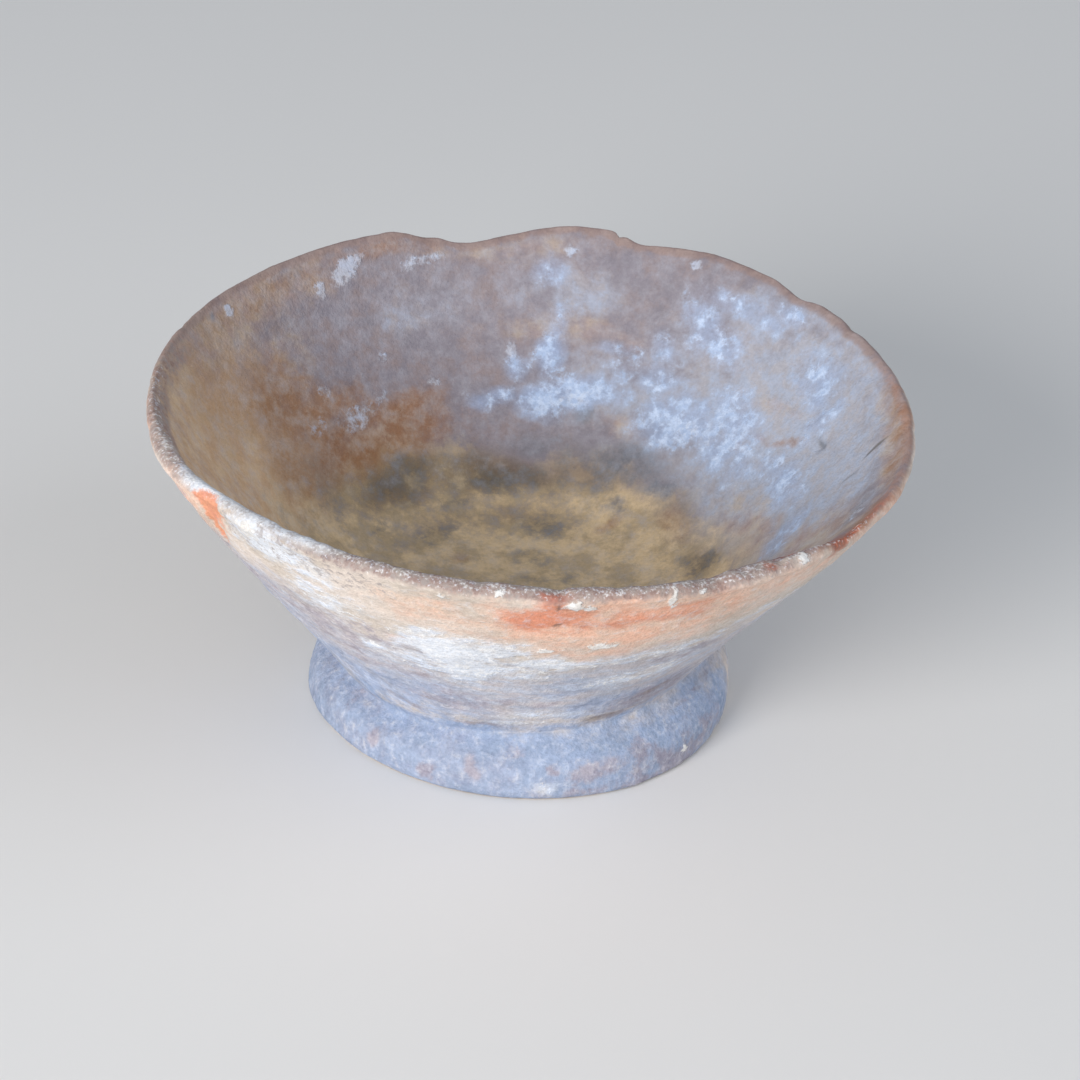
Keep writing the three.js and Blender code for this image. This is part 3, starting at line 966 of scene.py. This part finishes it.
class Nodes:
    """Short calls for a node tree's nodes and links."""

    def __init__(self, tree):
        self.tree = tree

    def add(self, kind, **settings):
        node = self.tree.nodes.new(kind)
        for name, value in settings.items():
            setattr(node, name, value)
        return node

    def link(self, out, into):
        self.tree.links.new(out, into)

    def feed(self, value, socket):
        """A socket takes a link or a plain value."""
        if isinstance(value, bpy.types.NodeSocket):
            self.link(value, socket)
        else:
            socket.default_value = value

    def math(self, operation, first, second=0.0, clamp=False):
        node = self.add("ShaderNodeMath", operation=operation, use_clamp=clamp)
        self.feed(first, node.inputs[0])
        self.feed(second, node.inputs[1])
        return node.outputs[0]

    def noise(self, vector, scale, detail=4.0, roughness=0.6):
        node = self.add("ShaderNodeTexNoise")
        self.link(vector, node.inputs["Vector"])
        self.feed(scale, node.inputs["Scale"])
        node.inputs["Detail"].default_value = detail
        node.inputs["Roughness"].default_value = roughness
        return node.outputs["Fac"]

    def mix(self, share, first, second):
        node = self.add("ShaderNodeMix", data_type="RGBA")
        self.feed(share, node.inputs["Factor"])
        self.feed(first, node.inputs["A"])
        self.feed(second, node.inputs["B"])
        return node.outputs["Result"]

    def ramp(self, value, low, high):
        """0 below low, 1 above high and smooth between."""
        node = self.add("ShaderNodeMapRange", interpolation_type="SMOOTHSTEP")
        self.feed(value, node.inputs["Value"])
        self.feed(low, node.inputs["From Min"])
        self.feed(high, node.inputs["From Max"])
        return node.outputs["Result"]

    def attribute(self, name):
        return self.add("ShaderNodeAttribute", attribute_name=name).outputs["Fac"]


# The deposit group's plain inputs with their first values, and its colour inputs
DEPOSIT_VALUES = {
    "Cover": 0.0,
    "Field": 0.5,
    "Tone Field": 0.5,
    "Shift": 0.0,
    "Break": 0.6,
    "Softness": 0.2,
    "Opacity": 1.0,
}
DEPOSIT_COLOURS = ("Tone A", "Tone B", "Ground")

# The middle of a noise field, and the cover past which more is covered than bare
FIELD_MIDDLE = 0.5
HALF_COVERED = 0.5

# Between which values of its cover a deposit sets in, and of a field one tone changes to the other
SETS_IN = (0.02, 0.3)
TONES_CHANGE = (0.38, 0.62)


def deposit_group():
    """A deposit with a broken edge: its colour between two tones over a ground, and its mask."""
    group = bpy.data.node_groups.new("Deposit", "ShaderNodeTree")
    sockets = group.interface
    for name, value in DEPOSIT_VALUES.items():
        socket = sockets.new_socket(name=name, in_out="INPUT", socket_type="NodeSocketFloat")
        socket.default_value = value
    for name in DEPOSIT_COLOURS:
        sockets.new_socket(name=name, in_out="INPUT", socket_type="NodeSocketColor")
    sockets.new_socket(name="Color", in_out="OUTPUT", socket_type="NodeSocketColor")
    sockets.new_socket(name="Mask", in_out="OUTPUT", socket_type="NodeSocketFloat")
    n = Nodes(group)
    given = n.add("NodeGroupInput").outputs
    out = n.add("NodeGroupOutput")
    torn = n.math("MULTIPLY", n.math("SUBTRACT", given["Field"], FIELD_MIDDLE), given["Break"])
    raised = n.math("ADD", n.math("ADD", given["Cover"], given["Shift"]), torn)
    low = n.math("SUBTRACT", HALF_COVERED, given["Softness"])
    high = n.math("ADD", HALF_COVERED, given["Softness"])
    reached = n.ramp(raised, low, high)
    present = n.ramp(given["Cover"], *SETS_IN)
    mask = n.math("MULTIPLY", n.math("MULTIPLY", reached, present), given["Opacity"], clamp=True)
    colour = n.mix(n.ramp(given["Tone Field"], *TONES_CHANGE), given["Tone A"], given["Tone B"])
    n.link(n.mix(mask, given["Ground"], colour), out.inputs["Color"])
    n.link(mask, out.inputs["Mask"])
    return group


def deposit(n, group, ground, fields, layer):
    """One layer of deposit over a ground colour. Gives the new colour and the layer's mask."""
    cover, tones, field, tone_field, shift, torn, softness, opacity = layer
    node = n.add("ShaderNodeGroup", node_tree=group)
    given = {
        "Cover": n.attribute(cover),
        "Field": fields[field],
        "Tone Field": fields[tone_field],
        "Shift": shift,
        "Break": torn,
        "Softness": softness,
        "Opacity": opacity,
        "Tone A": linear(tones[0]),
        "Tone B": linear(tones[1]),
        "Ground": ground,
    }
    for name, value in given.items():
        n.feed(value, node.inputs[name])
    return node.outputs["Color"], node.outputs["Mask"]


# Noise fields that the layers share: how far they are drawn out, scale, detail and roughness
PLAIN = (1.0, 1.0, 1.0)
BRUSHED = (0.8, 0.8, 1.35)
WIPED = (0.62, 0.62, 1.75)
FIELDS = {
    "soft": (PLAIN, 55, 3, 0.55),
    "cloud": (PLAIN, 130, 5, 0.66),
    "lumps": (PLAIN, 230, 4, 0.68),
    "grain": (PLAIN, 480, 3, 0.70),
    "dust": (PLAIN, 1100, 2, 0.65),
    "brushed": (BRUSHED, 150, 4, 0.68),
    "wiped": (WIPED, 230, 4, 0.70),
}

# Layers from the lowest up: cover, two tones, field, tone field, shift, break-up, softness and opacity
LAYERS = [
    ("inside", (INSIDE_MAUVE, INSIDE_ROSE), "soft", "cloud", 0.0, 0.0, 0.5, 1.0),
    ("lilac", (LILAC_WARM, LILAC_COOL), "brushed", "wiped", 0.0, 1.6, 0.45, 0.95),
    ("tan", (TAN_DEEP, TAN_PALE), "cloud", "cloud", 0.0, 1.0, 0.6, 0.95),
    # The veil's blue is partly painted cool shade.
    ("veil_and_cool_shade", (VEIL_GREY, VEIL_BLUE_AND_COOL_SHADE), "cloud", "lumps", 0.0, 1.8, 0.55, 0.9),
    ("peach", (PEACH_PALE, PEACH_WARM), "brushed", "cloud", 0.0, 1.4, 0.5, 0.95),
    # The blue layer and the foot's blue layers are partly painted cool shade.
    ("blue", (BLUE_DEEP_SALT_AND_SHADE, BLUE_PALE_SALT_AND_SHADE), "brushed", "lumps", 0.0, 1.6, 0.5, 0.92),
    ("foot", (FOOT_BLUE_SALT_AND_SHADE, FOOT_PALE_SALT_AND_SHADE), "brushed", "cloud", 0.0, 1.6, 0.5, 0.97),
    ("foot", (MAUVE_DEEP, GROOVE_BROWN), "cloud", "lumps", -0.95, 3.2, 0.6, 0.5),
    ("foot", (BLUE_PALE_SALT_AND_SHADE, SALT_PALE_AND_COOL_SHADE), "lumps", "cloud", -1.0, 3.6, 0.6, 0.3),
    ("soil", (SOIL_PALE, SOIL_DEEP), "lumps", "cloud", 0.0, 1.4, 0.45, 0.97),
    ("warm", (WARM_ROSE, WARM_SAND), "brushed", "cloud", 0.0, 1.8, 0.6, 0.75),
    # The mauve layer also paints shade on the left of the outer wall.
    ("mauve", (MAUVE_DEEP, MAUVE_PALE), "lumps", "cloud", 0.0, 2.6, 0.4, 0.8),
    ("red", (RED_CLAY, RED_DEEP), "brushed", "grain", 0.0, 1.6, 0.5, 0.9),
    ("brown", (BROWN_EARTH, BROWN_DEEP), "lumps", "cloud", 0.0, 1.8, 0.55, 0.85),
    ("rust", (RUST_DEEP, RUST_PALE), "cloud", "lumps", 0.0, 1.5, 0.7, 0.88),
    ("soil", (STAIN_GREEN, BROWN_DEEP), "cloud", "grain", -0.95, 4.0, 0.5, 0.55),
    ("soil", (SOIL_LIGHT, SOIL_PALE), "cloud", "lumps", -0.8, 2.8, 0.5, 0.6),
    ("stain", (STAIN_GREEN, STAIN_BLACK), "lumps", "grain", 0.0, 2.4, 0.55, 0.72),
    ("slate", (SLATE_PALE, SLATE_DEEP), "cloud", "grain", 0.0, 1.8, 0.5, 0.75),
    ("outside", (BLOOM, SMEAR_CREAM), "grain", "cloud", -0.85, 2.6, 0.45, 0.5),
    # This speckle of the veil's colours is partly painted cool shade.
    ("inside", (VEIL_GREY, VEIL_BLUE_AND_COOL_SHADE), "lumps", "cloud", -0.75, 2.2, 0.6, 0.45),
    ("lip_warm", (LIP_ROSE, LIP_ORANGE), "cloud", "cloud", -0.1, 2.4, 0.5, 0.6),
    ("lip_far", (LIP_BROWN, LIP_GREY), "cloud", "cloud", 0.0, 2.0, 0.5, 0.6),
    ("lip_near", (LIP_GREY, LIP_ROSE), "lumps", "grain", 0.0, 2.6, 0.6, 0.8),
    ("lip_near", (LIP_DARK, LIP_BROWN), "grain", "lumps", -0.65, 4.0, 0.4, 0.55),
    ("smear", (SMEAR_WHITE, SMEAR_CREAM), "brushed", "lumps", 0.0, 2.0, 0.5, 0.7),
    ("smear", (SMEAR_WHITE, SALT_WHITE), "wiped", "grain", -0.15, 3.6, 0.4, 0.62),
    ("smear", (SMEAR_WHITE, PLASTER), "grain", "grain", -0.35, 4.0, 0.3, 0.7),
    ("pitted", (LIP_GREY, LIP_DARK), "grain", "dust", -0.72, 4.2, 0.35, 0.6),
    # The salt's blue tint is partly painted cool shade.
    ("salt", (SALT_BLUE_AND_COOL_SHADE, SALT_PALE_AND_COOL_SHADE), "cloud", "lumps", 0.05, 1.8, 0.6, 0.8),
    ("salt", (SALT_PALE_AND_COOL_SHADE, SALT_WHITE), "lumps", "grain", -0.3, 4.0, 0.35, 0.8),
    ("fleck", (BLOOM, SALT_WHITE), "grain", "cloud", -0.05, 3.0, 0.45, 0.62),
    ("crack", (STAIN_GREEN, STAIN_BLACK), "soft", "grain", 0.0, 0.5, 0.3, 0.7),
    # The groove layer is partly painted shade in the groove between wall and foot.
    ("groove", (GROOVE_BROWN, MAUVE_DEEP), "wiped", "cloud", 0.0, 2.6, 0.4, 0.75),
    ("orange", (ORANGE_CLAY, RED_CLAY), "grain", "lumps", 0.0, 1.2, 0.25, 0.88),
    ("scar", (SCAR_RED, SCAR_BROWN), "lumps", "grain", 0.0, 1.8, 0.5, 0.85),
    ("lip", (PLASTER, BLOOM), "dust", "grain", -0.72, 4.4, 0.35, 0.62),
    ("plaster", (PLASTER, SMEAR_CREAM), "grain", "lumps", 0.0, 2.4, 0.25, 0.95),
]

# Layers that make the surface rougher and higher
CRUSTS = ("smear", "salt", "fleck", "plaster")

# How strongly each field lightens and darkens the clay, and the share that is lost inside the bowl
MOTTLING = [("soft", 0.35), ("lumps", 0.3), ("wiped", 0.25), ("grain", 0.4), ("dust", 0.5)]
INSIDE_CALM = 0.45

# Between which values of the soft field the bare clay changes from one tone to the other
CLAY_TONES_CHANGE = (0.35, 0.65)

# Finish of the clay, and what the crusts add to its roughness
CLAY_ROUGHNESS = 0.82
CRUST_ROUGHNESS = 0.15
CLAY_SPECULAR = 0.2

# Fine grain too small for the mesh: its height, strength, and the shares of dust, wiping and crust
BUMP_MM = 0.5
BUMP_STRENGTH = 0.8
BUMP_OF_DUST = 0.45
BUMP_OF_WIPING = 0.8
BUMP_OF_CRUST = 0.6


def noise_fields(n):
    """The shared noise fields, by name."""
    place = n.add("ShaderNodeTexCoord").outputs["Object"]
    fields = {}
    for name, (stretch, scale, detail, roughness) in FIELDS.items():
        mapping = n.add("ShaderNodeMapping")
        n.link(place, mapping.inputs["Vector"])
        mapping.inputs["Scale"].default_value = stretch
        fields[name] = n.noise(mapping.outputs["Vector"], scale, detail, roughness)
    return fields


def clay_material():
    """Bare clay with every layer of weathering over it."""
    material = bpy.data.materials.new("weathered_clay")
    material.use_nodes = True
    tree = material.node_tree
    tree.nodes.clear()
    n = Nodes(tree)
    shader = n.add("ShaderNodeBsdfPrincipled")
    output = n.add("ShaderNodeOutputMaterial")
    n.link(shader.outputs[0], output.inputs["Surface"])
    fields = noise_fields(n)
    layer_group = deposit_group()

    tone = n.ramp(fields["soft"], *CLAY_TONES_CHANGE)
    colour = n.mix(tone, linear(CREAM_WARM), linear(CREAM_PALE))
    crust = 0.0
    for layer in LAYERS:
        colour, mask = deposit(n, layer_group, colour, fields, layer)
        if layer[0] in CRUSTS:
            crust = n.math("MAXIMUM", crust, mask)
    n.link(mottled(n, colour, fields), shader.inputs["Base Color"])

    rough = n.math("ADD", CLAY_ROUGHNESS, n.math("MULTIPLY", crust, CRUST_ROUGHNESS))
    n.link(rough, shader.inputs["Roughness"])
    shader.inputs["Specular IOR Level"].default_value = CLAY_SPECULAR
    wiping = n.math("MULTIPLY", fields["wiped"], n.math("MULTIPLY", n.attribute("outside"), BUMP_OF_WIPING))
    height = n.math("ADD", n.math("MULTIPLY", fields["dust"], BUMP_OF_DUST), fields["grain"])
    height = n.math("ADD", height, wiping)
    height = n.math("ADD", height, n.math("MULTIPLY", crust, BUMP_OF_CRUST))
    bump = n.add("ShaderNodeBump")
    bump.inputs["Distance"].default_value = BUMP_MM * MM
    bump.inputs["Strength"].default_value = BUMP_STRENGTH
    n.link(height, bump.inputs["Height"])
    n.link(bump.outputs["Normal"], shader.inputs["Normal"])
    return material


def mottled(n, colour, fields):
    """Uneven lightness at several sizes over a colour, softer inside the bowl."""
    total = -FIELD_MIDDLE * sum(share for _, share in MOTTLING)
    for name, share in MOTTLING:
        total = n.math("ADD", total, n.math("MULTIPLY", fields[name], share))
    strength = n.math("SUBTRACT", 1.0, n.math("MULTIPLY", n.attribute("inside"), INSIDE_CALM))
    total = n.math("ADD", 1.0, n.math("MULTIPLY", total, strength))
    scale = n.add("ShaderNodeVectorMath", operation="SCALE")
    n.link(colour, scale.inputs[0])
    n.link(total, scale.inputs["Scale"])
    return scale.outputs[0]


# The stage: a pale floor, a soft room and two lights with their places, sizes, powers and colours
FLOOR_SIZE = 6
FLOOR_COLOUR = (0.90, 0.895, 0.89)
FLOOR_ROUGHNESS = 0.9
ROOM_COLOUR = (0.86, 0.92, 1.0, 1)
ROOM_STRENGTH = 0.42
LIGHT_AIM = (0, 0, 0.04)
LIGHTS = [
    ("window", (-1.0, -1.5, 0.75), 1.0, 34, (1.0, 0.98, 0.95)),
    ("fill", (1.2, -0.4, 0.9), 1.4, 6, (0.9, 0.94, 1.0)),
]


def plain_material(name, colour, roughness):
    """One colour and roughness all over."""
    material = bpy.data.materials.new(name)
    material.use_nodes = True
    shader = material.node_tree.nodes["Principled BSDF"]
    shader.inputs["Base Color"].default_value = linear(colour)
    shader.inputs["Roughness"].default_value = roughness
    return material


def make_floor():
    """A plain pale floor under the dish."""
    bpy.ops.mesh.primitive_plane_add(size=FLOOR_SIZE, location=(0, 0, 0))
    floor = bpy.context.active_object
    floor.name = "floor"
    floor.data.materials.append(plain_material("pale_floor", FLOOR_COLOUR, FLOOR_ROUGHNESS))


def area_light(name, place, size, power, colour):
    """A round soft light that points at the dish."""
    data = bpy.data.lights.new(name, "AREA")
    data.shape = "DISK"
    data.size = size
    data.energy = power
    data.color = colour
    light = bpy.data.objects.new(name, data)
    light.location = place
    aim = Vector(LIGHT_AIM) - Vector(place)
    light.rotation_euler = aim.to_track_quat("-Z", "Y").to_euler()
    bpy.context.scene.collection.objects.link(light)


def make_lights():
    """A soft, slightly blue room and its lights."""
    world = bpy.data.worlds.new("soft_room")
    world.use_nodes = True
    sky = world.node_tree.nodes["Background"]
    sky.inputs["Color"].default_value = ROOM_COLOUR
    sky.inputs["Strength"].default_value = ROOM_STRENGTH
    bpy.context.scene.world = world
    for name, place, size, power, colour in LIGHTS:
        area_light(name, place, size, power, colour)


def make_camera():
    """The camera at the photo's angle, turned a little around its line of sight."""
    elevation = math.radians(CAMERA_ELEVATION)
    roll = math.radians(CAMERA_ROLL)
    forward = Vector((0, math.cos(elevation), -math.sin(elevation)))
    level_right = Vector((1, 0, 0))
    level_up = level_right.cross(forward)
    right = level_right * math.cos(roll) + level_up * math.sin(roll)
    up = level_up * math.cos(roll) - level_right * math.sin(roll)
    data = bpy.data.cameras.new("camera")
    data.sensor_width = SENSOR_WIDTH_MM
    data.lens = SENSOR_WIDTH_MM * FOCAL_TO_FRAME
    camera = bpy.data.objects.new("camera", data)
    turn = Matrix((right, up, -forward)).transposed().to_4x4()
    place = Vector(CAMERA_AIM_MM) * MM - forward * CAMERA_DISTANCE
    camera.matrix_world = Matrix.Translation(place) @ turn
    bpy.context.scene.collection.objects.link(camera)
    bpy.context.scene.camera = camera


make_camera()
make_lights()
make_floor()
dish = make_dish()
dish.data.materials.append(clay_material())
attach(dish, "root")
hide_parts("dish")
bpy.context.scene.view_settings.view_transform = "Standard"

bpy.context.view_layer.update()
